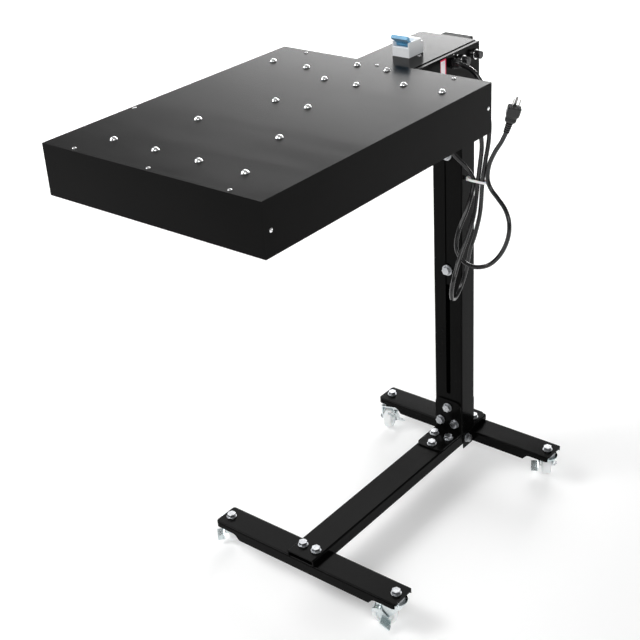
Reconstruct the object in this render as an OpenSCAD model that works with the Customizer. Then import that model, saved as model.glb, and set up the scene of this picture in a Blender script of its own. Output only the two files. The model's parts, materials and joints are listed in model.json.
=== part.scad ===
// Flash dryer on a four-caster stand: heater head, control box, telescoping post, H base and cord.
// Origin on the floor under the middle of the base; head points to -Y, post stands at +Y, Z is up.

/* [Head] */
// Width of the heater head across the stand
head_w = 461; // [420:1:480]
// Length of the heater head
head_l = 601; // [570:1:610]
// Height of the heater head
head_h = 89.6; // [80:0.2:95]
// Height of the head's underside above the floor
head_z = 907.7; // [907.7:0.1:948]
// Thickness of the head's sheet
sheet_t = 1.5; // [1.2:0.1:2]
// Number of heater tubes
tube_n = 6; // [4:1:8]
// Radius of a heater tube
tube_r = 5; // [4:0.5:6]

/* [Control box] */
// Width of the control box
box_w = 138; // [132:1:144]
// Width of the control box's lid
lid_w = 120; // [112:1:124]
// Height of the control box
box_h = 85.3; // [80:0.1:87]
// Width of the breaker
breaker_w = 38; // [34:1:44]
// Diameter of a control knob
knob_d = 15; // [12:1:18]

/* [Post] */
// Width of the fixed post
post_w = 70; // [68:1:72]
// Depth of the fixed post
post_d = 50; // [48:1:52]
// Wall of both posts
post_t = 2; // [1.5:0.1:2.5]
// Height of the fixed post's top above the floor
post_top = 844; // [828:1:846]
// Gap on each side between the two posts
post_gap = 0.3; // [0.3:0.05:0.6]
// Width of the slot for the clamp bolts
slot_w = 11; // [10.6:0.1:12]

/* [Base] */
// Length of a foot bar
bar_l = 458; // [444:1:474]
// Width of a foot bar
bar_w = 61; // [58:1:64]
// Height of a foot bar's top above the floor
bar_top = 74.5; // [74.5:0.1:78]
// Length of the base from front to rear
base_l = 639; // [630:1:650]
// Width of the long beam
beam_w = 66; // [66:0.1:68]
// Thickness of the folded channels
chan_t = 3; // [2.5:0.1:3]

/* [Casters] */
// Diameter of a caster wheel
wheel_d = 50; // [46:1:50]
// Width of a caster wheel
wheel_w = 20; // [18:1:22]
// Distance a wheel trails behind its swivel
trail = 22; // [20:1:24]
// Swivel angle of the front left caster
yaw_fl = 135; // [0:1:360]
// Swivel angle of the front right caster
yaw_fr = 205; // [0:1:360]
// Swivel angle of the rear left caster
yaw_rl = 288; // [0:1:360]
// Swivel angle of the rear right caster
yaw_rr = 122; // [0:1:360]

/* [Cord] */
// Diameter of the power cord
cord_d = 9; // [8:0.5:9]

/* [Hidden] */
$fn = 48;
eps = 0.01;
black = [0.10, 0.10, 0.11];
zinc = [0.78, 0.79, 0.80];
nylon = [0.93, 0.93, 0.90];
plastic = [0.06, 0.06, 0.06];

// Folded and rounded corners
post_corner = 3;
fold_r = 4;
bar_corner = 9;
plate_half = 33;
plate_corner = 14;

// Base levels
bar_flange = 24;
bar_end_flange = 12;
bar_notch_x = bar_l / 2 - 63;
bar_y = base_l / 2 - bar_w / 2;
beam_top = 88;
beam_h = 27;
lap_y = base_l / 2 - bar_w;
post_y = 239.5;
post_front = post_y - post_d / 2;
post_back = post_y + post_d / 2;
tab_drop = 39;
tab_half = 18;
slot_z0 = 187;
slot_z1 = 826;
bracket_t = 3.5;
bracket_leg = 84;
rear_leg = 55;
bolt_r = 5;
bolt_af = 16;
bolt_h = 6.4;
hole_r = 5.2;
washer_r = 10.5;
washer_t = 2;
front_bolt_x = 16.5;
side_bolt_x = 18.7;
bracket_bolt_z = 115;
bracket_top_z = 153;
bracket_bolt_y = post_front - 30.5;
bracket_top_y = post_front - 69;
rear_bolt_y = 289;
rear_bolt_z = 115;
rear_top_z = 153;
tab_bolt_y = 235;
tab_bolt_z = 72;

// Casters
caster_x = 211;
caster_y = 289;
axle_z = wheel_d / 2;
axle_r = 4;
fork_in = 13;
fork_t = 2.5;
fork_out = fork_in + fork_t;
pivot_x = 31;
crown_z0 = 58;
crown_z1 = 61;
crown_r = 22;
fork_nose = 14;
fork_tail = pivot_x + 5;
eye_r = 8;
hub_r = 8;
rim_in = 17;
rim_bevel = 3;
race_z0 = 61.3;
pivot_z = 46;
pivot_r = 2.5;
boss_r = 5;
pedal_y0 = fork_out + 2.8;
pedal_t = 2.5;
pedal_reach = 34;
tread_gap = 27.4;
finger_t = 2.5;
finger_w = 6;
casters = [[-caster_x, -caster_y, yaw_fl], [caster_x, -caster_y, yaw_fr],
           [-caster_x, caster_y, yaw_rl], [caster_x, caster_y, yaw_rr]];

// Telescoping post
mast_w = post_w - 2 * post_t - 2 * post_gap;
mast_d = post_d - 2 * post_t - 2 * post_gap;
mast_front = post_y - mast_d / 2;
mast_z0 = 458;
mast_z1 = 984;
clamp_z = [494, 752.5];
clamp_washer_r = 12;
clamp_washer_t = 2.5;
clamp_nut_l = 8;
clamp_nut_af = 17;
box_nut_l = 6;
box_bolt_af = 13;
box_bolt_h = 5.3;

// Head and control box
head_back = 6.5;
head_front = head_back - head_l;
head_top = head_z + head_h;
head_x = head_w / 2;
box_front = head_back;
box_back = 225;
box_x = box_w / 2;
box_top = head_z + box_h;
box_floor = head_z;
panel_y = mast_front - sheet_t;
box_bolt_r = 4;
post_bolt_z = [924, 958];
post_bolt_x = 20;
join_z = [923, 980];
join_x = 50;
knob_y = [165, 208.5];
knob_z = 970.5;
knob_r = knob_d / 2;
shaft_r = 3;
pot_r = 6.5;
gland_y = 132;
gland_z = 973;
gland_r = 4.6;
gland_l = 21;
bezel_r = 10;
bezel_t = 4;
lid_screw_x = 27;
lid_screw_y = 86;
side_screws = [[136, 988.4], [148.5, 984]];
side_screw_r = 1.7;
breaker_y0 = 65;
breaker_y1 = 111;
breaker_top = box_top + 28;
lever_y = 80;
lever_z = breaker_top - 7;
lever_slot_x = 16;
label_y = 92;
label_z = 957;
label_t = 0.4;
label_w = 18;
label_h = 31;

// Inside the head
lip = 12;
guard_rows = 9;
guard_y = [-520, -410, -300, -190, -80];
heater_pitch = 72;
heater_x = [for (k = [0:tube_n - 1]) (k - (tube_n - 1) / 2) * heater_pitch * 6 / (tube_n + 0.01)];
board_z0 = 956;
board_t = 25;
tube_z = 924;
rail_y = 24;
grid_z = 911;
wire_r = 1.5;
dome_xy = [[139, -525], [-139, -525], [46, -525], [-46, -525], [87, -386], [-87, -386],
           [35, -251], [-35, -251], [35, -118], [-35, -118], [186, -79], [-186, -79],
           [107, -79], [-107, -79], [33, -25], [-33, -25]];
dome_r = 6.5;
dome_ball = 6.7;
dome_h = 5;
stud_r = 2;
edge_x = 164;
edge_in = 9;
shell_screws = [[-580, 949], [-5, 954]];
lid_screws = [[0, head_front + edge_in], [edge_x, head_front + edge_in],
              [-edge_x, head_front + edge_in], [0, head_back - edge_in - 7],
              [edge_x, head_back - edge_in - 7], [-edge_x, head_back - edge_in - 7],
              [-head_x + edge_in, -400]];
screw_r = 3.6;
screw_h = 2.2;
shank_r = 1.6;

// Cord: points along the hanging hank, from the gland to the plug
route = [[63, 132, 973], [76.5, 132, 973], [90, 132, 973], [112, 132, 965.5], [130, 133.5, 946],
         [135, 140.5, 920], [124, 155, 887], [106, 178, 855], [84, 208, 820], [74, 228, 778],
         [67, 233, 738], [64.5, 230, 704], [64.5, 223, 668], [65, 212, 631], [63, 192, 593],
         [60, 167.5, 553.5], [60.5, 142.5, 511], [52, 150, 472.5], [45, 172.5, 457.5],
         [40, 201, 467], [43, 219.5, 504], [51, 221, 550], [62, 224, 589], [70, 230, 638],
         [75, 230, 704], [78, 236, 748], [81, 243, 793], [79, 243.5, 836.5], [61, 228, 864],
         [40.5, 209, 865.5], [22, 189, 840.5], [19.5, 182, 803], [32, 189.5, 769.5],
         [49, 207.5, 739], [54, 230, 704], [49, 232, 674.5], [46.5, 216.5, 641.5],
         [43.5, 192.5, 607], [43.5, 181.5, 571], [59.5, 178.5, 547.5], [84.5, 181, 537.5],
         [114, 189.5, 544.5], [136.5, 198.5, 569.5], [149.5, 205, 604], [149, 211.5, 636],
         [135, 219.5, 660], [114, 225.5, 677.5], [96, 228, 693.5], [87.5, 229, 714],
         [89, 232.5, 742.5], [103, 231, 773], [117, 231, 796], [127, 231, 817]];
cord_sides = 10;
plug_tilt = 18.7;
plug_turn = 38;
tie_z = 704;
tie_h = 5;
tie_x0 = 49;
tie_x1 = 80;
tie_in = 5;
tie_wall = 1.6;

// Shared shapes
module hexagon(af) {
    circle(r = af / 2 / cos(30), $fn = 6);
}

module hex_bolt(af, head, r, len) {
    linear_extrude(head) hexagon(af);
    translate([0, 0, -len]) cylinder(r = r, h = len + eps);
}

module ring(ro, ri, h) {
    difference() {
        cylinder(r = ro, h = h);
        translate([0, 0, -1]) cylinder(r = ri, h = h + 2);
    }
}

module hex_nut(af, r, h) {
    difference() {
        linear_extrude(h) hexagon(af);
        translate([0, 0, -1]) cylinder(r = r, h = h + 2);
    }
}

module rounded(w, l, r) {
    square([w - 2 * r, l], center = true);
    square([w, l - 2 * r], center = true);
    for (x = [-1, 1], y = [-1, 1]) {
        translate([x * (w / 2 - r), y * (l / 2 - r)]) circle(r = r);
    }
}

module shell_2d(w, h, r) {
    translate([-w / 2, -h]) square([w, h - r]);
    translate([-w / 2 + r, -r - eps]) square([w - 2 * r, r + eps]);
    for (s = [-1, 1]) translate([s * (w / 2 - r), -r]) circle(r = r);
}

module channel_2d(w, h, t, r) {
    difference() {
        shell_2d(w, h, r);
        translate([0, -t]) shell_2d(w - 2 * t, h, r - t);
    }
}

module tube(w, d, t, z0, z1) {
    translate([0, 0, z0]) linear_extrude(z1 - z0) difference() {
        rounded(w, d, post_corner);
        rounded(w - 2 * t, d - 2 * t, post_corner - 2);
    }
}

module pan_screw(len) {
    cylinder(r = screw_r, h = screw_h);
    translate([0, 0, -len]) cylinder(r = shank_r, h = len + eps);
}

// Base
module foot_bar(side) {
    color(black) difference() {
        translate([0, side * bar_y, bar_top]) intersection() {
            rotate([90, 0, 90]) translate([0, 0, -bar_l / 2]) linear_extrude(bar_l)
                channel_2d(bar_w, bar_flange, chan_t, fold_r);
            translate([0, 0, -50]) linear_extrude(60) rounded(bar_l, bar_w, bar_corner);
        }
        for (s = [-1, 1]) mirror([s < 0 ? 1 : 0, 0, 0])
            translate([0, side * bar_y + bar_w, bar_top]) rotate([90, 0, 0]) linear_extrude(2 * bar_w)
            polygon([[bar_notch_x, -bar_flange - 1], [bar_notch_x, -bar_flange],
                     [bar_notch_x + 9, -bar_end_flange - 2], [bar_notch_x + 15, -bar_end_flange],
                     [bar_l, -bar_end_flange], [bar_l, -bar_flange - 1]]);
        for (s = [-1, 1]) {
            translate([s * caster_x, side * caster_y, 0]) cylinder(r = hole_r, h = 200);
            translate([s * (side < 0 ? front_bolt_x : side_bolt_x), side * rear_bolt_y, 0])
                cylinder(r = hole_r, h = 200);
        }
    }
}

module foot_bar_front() {
    foot_bar(-1);
}

module foot_bar_rear() {
    foot_bar(1);
}

module base_beam() {
    color(black) difference() {
        translate([0, base_l / 2, beam_top]) rotate([90, 0, 0]) linear_extrude(base_l)
            channel_2d(beam_w, beam_h, chan_t, fold_r);
        for (s = [-1, 1]) {
            translate([-50, s > 0 ? lap_y : -lap_y - 100, 50]) cube([100, 100, bar_top - 50]);
            translate([s * front_bolt_x, -rear_bolt_y, 0]) cylinder(r = hole_r, h = 200);
            translate([s * side_bolt_x, rear_bolt_y, 0]) cylinder(r = hole_r, h = 200);
            translate([s * side_bolt_x, bracket_bolt_y, 0]) cylinder(r = hole_r, h = 200);
        }
        translate([0, bracket_top_y, 0]) cylinder(r = hole_r, h = 200);
        translate([-50, tab_bolt_y, tab_bolt_z]) rotate([0, 90, 0]) cylinder(r = hole_r, h = 100);
    }
}

module lower_post() {
    color(black) difference() {
        union() {
            translate([0, post_y, 0]) tube(post_w, post_d, post_t, beam_top, post_top);
            for (s = [-1, 1]) translate([s * (post_w / 2 - post_t / 2), 0, 0])
                translate([-post_t / 2, post_y - tab_half, beam_top - tab_drop])
                cube([post_t, 2 * tab_half, tab_drop + 1]);
        }
        translate([-slot_w / 2, post_front - 1, slot_z0 + slot_w / 2])
            cube([slot_w, 6, slot_z1 - slot_z0 - slot_w]);
        for (z = [slot_z0 + slot_w / 2, slot_z1 - slot_w / 2])
            translate([0, post_front + 5, z]) rotate([90, 0, 0]) cylinder(r = slot_w / 2, h = 6);
        for (s = [-1, 1]) translate([s * side_bolt_x, 0, bracket_bolt_z])
            rotate([-90, 0, 0]) cylinder(r = hole_r, h = 400);
        translate([0, 0, bracket_top_z]) rotate([-90, 0, 0]) cylinder(r = hole_r, h = 400);
        translate([-50, tab_bolt_y, tab_bolt_z]) rotate([0, 90, 0]) cylinder(r = hole_r, h = 100);
    }
}

module bracket_plate(len) {
    inner = plate_half - plate_corner;
    translate([-plate_half, 0]) square([2 * plate_half, len - plate_corner]);
    translate([-inner, 0]) square([2 * inner, len]);
    for (s = [-1, 1]) translate([s * inner, len - plate_corner]) circle(r = plate_corner);
}

module bracket_front() {
    color(black) difference() {
        union() {
            translate([0, post_front, beam_top]) mirror([0, 1, 0]) linear_extrude(bracket_t)
                bracket_plate(bracket_leg);
            translate([0, post_front, beam_top]) rotate([90, 0, 0]) linear_extrude(bracket_t)
                bracket_plate(bracket_leg);
        }
        for (s = [-1, 1]) {
            translate([s * side_bolt_x, bracket_bolt_y, 50]) cylinder(r = hole_r, h = 100);
            translate([s * side_bolt_x, 150, bracket_bolt_z]) rotate([-90, 0, 0])
                cylinder(r = hole_r, h = 100);
        }
        translate([0, bracket_top_y, 50]) cylinder(r = hole_r, h = 100);
        translate([0, 150, bracket_top_z]) rotate([-90, 0, 0]) cylinder(r = hole_r, h = 100);
    }
}

module bracket_rear() {
    color(black) difference() {
        union() {
            translate([0, post_back, beam_top]) linear_extrude(bracket_t) bracket_plate(rear_leg);
            translate([0, post_back + bracket_t, beam_top]) rotate([90, 0, 0])
                linear_extrude(bracket_t) bracket_plate(bracket_leg);
        }
        for (s = [-1, 1]) {
            translate([s * side_bolt_x, rear_bolt_y, 50]) cylinder(r = hole_r, h = 100);
            translate([s * side_bolt_x, 200, rear_bolt_z]) rotate([-90, 0, 0])
                cylinder(r = hole_r, h = 100);
        }
        translate([0, 200, rear_top_z]) rotate([-90, 0, 0]) cylinder(r = hole_r, h = 100);
    }
}

// Every place a base fastener sits: children are drawn with +Z pointing out of the head
module base_places() {
    for (s = [-1, 1]) {
        translate([s * front_bolt_x, -rear_bolt_y, beam_top]) children(0);
        translate([s * side_bolt_x, rear_bolt_y, beam_top + bracket_t]) children(0);
        translate([s * side_bolt_x, bracket_bolt_y, beam_top + bracket_t]) children(1);
        translate([s * side_bolt_x, post_front - bracket_t, bracket_bolt_z])
            rotate([90, 0, 0]) children(2);
        translate([s * side_bolt_x, post_back + bracket_t, rear_bolt_z])
            rotate([-90, 0, 0]) children(2);
        translate([s * post_w / 2, tab_bolt_y, tab_bolt_z]) rotate([0, s * 90, 0]) children(3);
    }
    translate([0, bracket_top_y, beam_top + bracket_t]) children(1);
    translate([0, post_front - bracket_t, bracket_top_z]) rotate([90, 0, 0]) children(2);
    translate([0, post_back + bracket_t, rear_top_z]) rotate([-90, 0, 0]) children(2);
}

module base_bolt(len) {
    translate([0, 0, washer_t]) hex_bolt(bolt_af, bolt_h, bolt_r, len + washer_t);
}

module base_bolts() {
    color(zinc) base_places() {
        base_bolt(27);
        base_bolt(16);
        base_bolt(16);
        base_bolt(16);
    }
}

module base_washers() {
    color(zinc) {
        base_places() {
            ring(washer_r, bolt_r, washer_t);
            ring(washer_r, bolt_r, washer_t);
            ring(washer_r, bolt_r, washer_t);
            ring(washer_r, bolt_r, washer_t);
        }
        for (c = casters) translate([c[0], c[1], bar_top]) ring(washer_r, bolt_r, washer_t);
    }
}

module drop_nut(depth) {
    translate([0, 0, -depth - bolt_h]) hex_nut(bolt_af, bolt_r, bolt_h);
}

module base_nuts() {
    color(zinc) {
        for (s = [-1, 1]) {
            translate([s * front_bolt_x, -rear_bolt_y, bar_top - chan_t]) drop_nut(0);
            translate([s * side_bolt_x, rear_bolt_y, bar_top - chan_t]) drop_nut(0);
            translate([s * side_bolt_x, bracket_bolt_y, beam_top - chan_t]) drop_nut(0);
            translate([s * side_bolt_x, post_front + post_t, bracket_bolt_z]) rotate([90, 0, 0])
                drop_nut(0);
            translate([s * side_bolt_x, post_back - post_t, rear_bolt_z]) rotate([-90, 0, 0])
                drop_nut(0);
            translate([s * (beam_w / 2 - chan_t), tab_bolt_y, tab_bolt_z]) rotate([0, s * 90, 0])
                drop_nut(0);
        }
        translate([0, bracket_top_y, beam_top - chan_t]) drop_nut(0);
        translate([0, post_front + post_t, bracket_top_z]) rotate([90, 0, 0]) drop_nut(0);
        translate([0, post_back - post_t, rear_top_z]) rotate([-90, 0, 0]) drop_nut(0);
    }
}

// Casters
module caster_bolts() {
    color(zinc) for (c = casters) translate([c[0], c[1], bar_top + washer_t])
        hex_bolt(bolt_af, bolt_h, bolt_r, bar_top + washer_t - crown_z0 + 0.3 + bolt_h);
}

module caster_races() {
    color(zinc) for (c = casters) translate([c[0], c[1], race_z0])
        ring(17, bolt_r, bar_top - chan_t - race_z0);
}

module caster_nuts() {
    color(zinc) for (c = casters) translate([c[0], c[1], crown_z0 - 0.3 - bolt_h])
        hex_nut(bolt_af, bolt_r, bolt_h);
}

module at_caster(i) {
    translate([casters[i][0], casters[i][1], 0]) rotate([0, 0, casters[i][2]]) children();
}

module fork_leg() {
    difference() {
        union() {
            polygon([[-fork_nose, crown_z1], [-fork_nose, crown_z0 - 5], [trail - eye_r, axle_z],
                     [trail + eye_r, axle_z], [fork_tail, pivot_z - 4], [fork_tail, crown_z1]]);
            translate([trail, axle_z]) circle(r = eye_r);
        }
        translate([trail, axle_z]) circle(r = axle_r + 0.05);
    }
}

module fork(i) {
    color(zinc) at_caster(i) {
        difference() {
            union() {
                translate([0, 0, crown_z0]) cylinder(r = crown_r, h = crown_z1 - crown_z0);
                translate([-fork_nose, -fork_out, crown_z0])
                    cube([fork_tail + fork_nose, 2 * fork_out, crown_z1 - crown_z0]);
                for (y = [-fork_out, fork_in]) translate([0, y + fork_t, 0]) rotate([90, 0, 0])
                    linear_extrude(fork_t) fork_leg();
                translate([pivot_x, fork_out - eps, pivot_z]) rotate([-90, 0, 0])
                    cylinder(r = boss_r, h = pedal_y0 - fork_out - 0.3);
                translate([pivot_x, fork_out, pivot_z]) rotate([-90, 0, 0])
                    cylinder(r = pivot_r, h = pedal_y0 - fork_out + pedal_t + 0.4);
                translate([pivot_x, pedal_y0 + pedal_t + 0.3, pivot_z]) rotate([-90, 0, 0])
                    cylinder(r = boss_r, h = 1.5);
            }
            cylinder(r = bolt_r + 0.06, h = 200);
        }
    }
}

module axle(i) {
    color(zinc) at_caster(i) translate([trail, 0, axle_z]) rotate([-90, 0, 0]) {
        translate([0, 0, -fork_out - 7]) cylinder(r = axle_r, h = 2 * fork_out + 8);
        translate([0, 0, fork_out]) cylinder(r = 7, h = 2.3);
        translate([0, 0, -fork_out - 4.5]) linear_extrude(4.5) hexagon(12);
    }
}

module wheel(i) {
    hub = fork_in - 0.4;
    half = wheel_w / 2;
    color(nylon) at_caster(i) translate([trail, 0, axle_z]) rotate([90, 0, 0]) difference() {
        rotate_extrude() polygon([[0, -hub], [hub_r, -hub], [hub_r, -half + rim_bevel],
            [rim_in, -half + rim_bevel], [rim_in, -half], [axle_z - rim_bevel, -half],
            [axle_z, -half + rim_bevel], [axle_z, half - rim_bevel], [axle_z - rim_bevel, half],
            [rim_in, half], [rim_in, half - rim_bevel], [hub_r, half - rim_bevel],
            [hub_r, hub], [0, hub]]);
        translate([0, 0, -20]) cylinder(r = axle_r + 0.05, h = 40);
    }
}

// Brake lever hanging outside the fork: a foot tab below and a finger over the tread
module pedal_plate() {
    difference() {
        union() {
            translate([pivot_x, pivot_z]) circle(r = 6.5);
            polygon([[25, 44], [8, 21], [10, 9], [28, 25], [37, 43], [31, 52]]);
            polygon([[31, 52], [43, 50], [45.5, 42], [41.5, 41], [33, 40]]);
        }
        translate([pivot_x, pivot_z]) circle(r = pivot_r + 0.05);
    }
}

module pedal(i) {
    color(zinc) at_caster(i) {
        translate([0, pedal_y0 + pedal_t, 0]) rotate([90, 0, 0]) linear_extrude(pedal_t)
            pedal_plate();
        translate([0, pedal_reach, 0]) rotate([90, 0, 0])
            linear_extrude(pedal_reach - pedal_y0 - pedal_t + eps)
            polygon([[10, 9], [28, 25], [26.3, 26.9], [8.3, 10.9]]);
        translate([trail, pedal_y0 + eps, axle_z]) rotate([0, -45, 0])
            translate([tread_gap, -pedal_y0 + 2, -finger_w / 2])
            cube([finger_t, pedal_y0 - 2, finger_w]);
    }
}

module fork_front_left() {
    fork(0);
}

module fork_front_right() {
    fork(1);
}

module fork_rear_left() {
    fork(2);
}

module fork_rear_right() {
    fork(3);
}

module axle_front_left() {
    axle(0);
}

module axle_front_right() {
    axle(1);
}

module axle_rear_left() {
    axle(2);
}

module axle_rear_right() {
    axle(3);
}

module wheel_front_left() {
    wheel(0);
}

module wheel_front_right() {
    wheel(1);
}

module wheel_rear_left() {
    wheel(2);
}

module wheel_rear_right() {
    wheel(3);
}

module pedal_front_left() {
    pedal(0);
}

module pedal_front_right() {
    pedal(1);
}

module pedal_rear_left() {
    pedal(2);
}

module pedal_rear_right() {
    pedal(3);
}

// Telescoping post with welded nuts inside its front wall
module inner_post() {
    color(black) difference() {
        union() {
            translate([0, post_y, 0]) tube(mast_w, mast_d, post_t, mast_z0, mast_z1);
            for (z = clamp_z) translate([0, mast_front + post_t + clamp_nut_l, z]) rotate([90, 0, 0])
                linear_extrude(clamp_nut_l + 0.5) hexagon(clamp_nut_af);
            for (z = post_bolt_z, s = [-1, 1])
                translate([s * post_bolt_x, mast_front + post_t + box_nut_l, z]) rotate([90, 0, 0])
                linear_extrude(box_nut_l + 0.5) hexagon(box_bolt_af);
        }
        for (z = clamp_z) translate([0, mast_front + 20, z]) rotate([90, 0, 0])
            cylinder(r = bolt_r + 0.05, h = 30);
        for (z = post_bolt_z, s = [-1, 1])
            translate([s * post_bolt_x, mast_front + 20, z]) rotate([90, 0, 0])
            cylinder(r = box_bolt_r + 0.05, h = 30);
    }
}

module post_cap() {
    color(plastic) {
        translate([0, post_y, mast_z1]) linear_extrude(2.5) rounded(mast_w, mast_d, 3);
        translate([0, post_y, mast_z1 - 10]) linear_extrude(10 + eps)
            rounded(mast_w - 2 * post_t - 0.2, mast_d - 2 * post_t - 0.2, 0.9);
    }
}

module clamp_bolts() {
    color(zinc) for (z = clamp_z)
        translate([0, post_front - 0.3 - clamp_washer_t, z]) rotate([90, 0, 0])
        hex_bolt(bolt_af, bolt_h, bolt_r, 20);
}

module clamp_washers() {
    color(zinc) for (z = clamp_z) translate([0, post_front - 0.3, z]) rotate([90, 0, 0])
        ring(clamp_washer_r, bolt_r, clamp_washer_t);
}

// Control box
module box_body() {
    inner_x = box_x - sheet_t;
    color(black) difference() {
        union() {
            translate([-box_x, box_front, box_floor]) cube([box_w, mast_front - box_front, sheet_t]);
            for (s = [-1, 1]) {
                translate([s > 0 ? inner_x : -box_x, box_front, box_floor])
                    cube([sheet_t, box_back - box_front, box_h - sheet_t]);
                translate([s > 0 ? inner_x - 11 : -box_x, box_front, box_top - 2 * sheet_t])
                    cube([11 + sheet_t, box_back - box_front, sheet_t]);
            }
            translate([-box_x, box_front, box_floor]) cube([box_w, sheet_t, box_h - sheet_t]);
            translate([-box_x, panel_y, box_floor]) cube([box_w, sheet_t, box_h - sheet_t]);
        }
        for (y = knob_y) translate([box_x - 10, y, knob_z]) rotate([0, 90, 0])
            cylinder(r = 5, h = 20);
        translate([box_x - 10, gland_y, gland_z]) rotate([0, 90, 0]) cylinder(r = 8, h = 20);
        for (p = side_screws) translate([box_x - 5, p[0], p[1]]) rotate([0, 90, 0])
            cylinder(r = 0.8, h = 10);
        for (z = join_z, s = [-1, 1]) translate([s * join_x, 0, z]) rotate([-90, 0, 0])
            cylinder(r = box_bolt_r + 0.1, h = 20);
        for (z = post_bolt_z, s = [-1, 1]) translate([s * post_bolt_x, 190, z]) rotate([-90, 0, 0])
            cylinder(r = box_bolt_r + 0.1, h = 40);
    }
}

module box_lid() {
    color(black) difference() {
        translate([-lid_w / 2, box_front, box_top - sheet_t])
            cube([lid_w, box_back - box_front, sheet_t]);
        translate([-breaker_w / 2, breaker_y0, box_top - 5])
            cube([breaker_w, breaker_y1 - breaker_y0, 10]);
        for (s = [-1, 1]) translate([s * lid_screw_x, lid_screw_y, box_top - 5])
            cylinder(r = shank_r, h = 10);
    }
}

module box_screws() {
    color(zinc) {
        for (s = [-1, 1]) translate([s * lid_screw_x, lid_screw_y, box_top]) pan_screw(4);
        for (p = side_screws) translate([box_x, p[0], p[1]]) rotate([0, 90, 0]) {
            cylinder(r = side_screw_r, h = 1);
            translate([0, 0, -3]) cylinder(r = 0.8, h = 3 + eps);
        }
    }
}

module box_bolts() {
    color(zinc) {
        for (z = join_z, s = [-1, 1])
            translate([s * join_x, box_front + sheet_t, z]) rotate([-90, 0, 0])
            hex_bolt(box_bolt_af, box_bolt_h, box_bolt_r, 10);
        for (z = post_bolt_z, s = [-1, 1]) translate([s * post_bolt_x, panel_y, z]) rotate([90, 0, 0])
            hex_bolt(box_bolt_af, box_bolt_h, box_bolt_r, 14);
    }
}

module breaker_body() {
    depth = breaker_y1 - breaker_y0;
    color([0.9, 0.9, 0.88]) difference() {
        union() {
            translate([-breaker_w / 2, breaker_y0, box_top - 42]) cube([breaker_w, depth - 5, 70]);
            translate([-breaker_w / 2, breaker_y0 + 5, box_top - 42]) cube([breaker_w, depth - 5, 64]);
        }
        translate([-lever_slot_x, lever_y - 7, lever_z - 6.5]) cube([2 * lever_slot_x, 15, 20]);
        translate([-lever_slot_x, breaker_y0, lever_z - 3]) cube([2 * lever_slot_x, 32, 20]);
    }
}

module breaker_lever() {
    color([0.15, 0.45, 0.65]) translate([0, lever_y, lever_z]) {
        rotate([0, 90, 0]) translate([0, 0, -lever_slot_x + 0.3])
            cylinder(r = 5.5, h = 2 * lever_slot_x - 0.6);
        rotate([48, 0, 0]) translate([-lever_slot_x + 0.3, -2.5, 0])
            cube([2 * lever_slot_x - 0.6, 5, 24]);
        rotate([48, 0, 0]) translate([-18, -3.5, 17]) cube([36, 7, 8]);
    }
}

module cable_gland() {
    color(plastic) translate([box_x, gland_y, gland_z]) rotate([0, 90, 0]) {
        difference() {
            union() {
                translate([0, 0, -8]) cylinder(r = 7.9, h = 8 + eps);
                linear_extrude(5) hexagon(19);
                translate([0, 0, 5 - eps]) cylinder(r1 = 9, r2 = 5.7, h = gland_l - 5);
            }
            translate([0, 0, -9]) cylinder(r = gland_r, h = gland_l + 10);
        }
    }
}

module blank_label() {
    color([0.85, 0.75, 0.78]) translate([box_x, label_y, label_z]) cube([label_t, label_w, label_h]);
}

module knob(y) {
    color(plastic) translate([box_x, y, knob_z]) rotate([0, 90, 0]) difference() {
        union() {
            translate([0, 0, bezel_t + 0.4]) cylinder(r = knob_r, h = 10.6);
            translate([-knob_r + 0.6, -0.7, bezel_t + 10.9]) cube([6, 1.4, 0.6]);
        }
        translate([0, 0, bezel_t - 1]) cylinder(r = shaft_r + 0.05, h = 10);
    }
}

module knob_front() {
    knob(knob_y[0]);
}

module knob_rear() {
    knob(knob_y[1]);
}

module knob_bezels() {
    color(zinc) for (y = knob_y) translate([box_x, y, knob_z]) rotate([0, 90, 0])
        ring(bezel_r, 5, bezel_t);
}

module control_pots() {
    color([0.5, 0.5, 0.48]) for (y = knob_y) translate([box_x, y, knob_z]) rotate([0, 90, 0]) {
        translate([0, 0, -20]) cylinder(r = pot_r, h = 20 - sheet_t);
        translate([0, 0, -sheet_t - eps]) cylinder(r = 4.9, h = sheet_t + bezel_t - 0.5);
        translate([0, 0, bezel_t - 0.6]) cylinder(r = shaft_r, h = 9);
    }
}

module power_regulator() {
    color([0.6, 0.6, 0.62]) translate([-50, 130, box_floor + sheet_t]) {
        cube([60, 60, 4]);
        for (k = [0:6]) translate([k * 9.5, 0, 4 - eps]) cube([2.4, 60, 22]);
    }
}

module terminal_block() {
    color([0.88, 0.86, 0.8]) translate([15, 130, box_floor + sheet_t]) difference() {
        cube([22, 60, 20]);
        for (k = [0:4]) translate([11, 8 + k * 11, 8]) cylinder(r = 3, h = 20);
    }
}

// Head
module head_shell() {
    color(black) difference() {
        translate([-head_x, head_front, head_z]) cube([head_w, head_l, head_h - sheet_t]);
        translate([-head_x + sheet_t, head_front + sheet_t, head_z + sheet_t])
            cube([head_w - 2 * sheet_t, head_l - 2 * sheet_t, head_h]);
        translate([-head_x + lip, head_front + lip, head_z - 1])
            cube([head_w - 2 * lip, head_l - 2 * lip, 10]);
        for (z = join_z, s = [-1, 1]) translate([s * join_x, -10, z]) rotate([-90, 0, 0])
            cylinder(r = box_bolt_r + 0.1, h = 30);
        for (p = shell_screws) translate([-head_x - 5, p[0], p[1]]) rotate([0, 90, 0])
            cylinder(r = shank_r, h = head_w + 10);
    }
}

module head_lid() {
    color(black) difference() {
        translate([-head_x, head_front, head_top - sheet_t]) cube([head_w, head_l, sheet_t]);
        for (p = dome_xy) translate([p[0], p[1], head_top - 5]) cylinder(r = stud_r, h = 10);
        for (p = lid_screws) translate([p[0], p[1], head_top - 5]) cylinder(r = shank_r, h = 10);
    }
}

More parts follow.
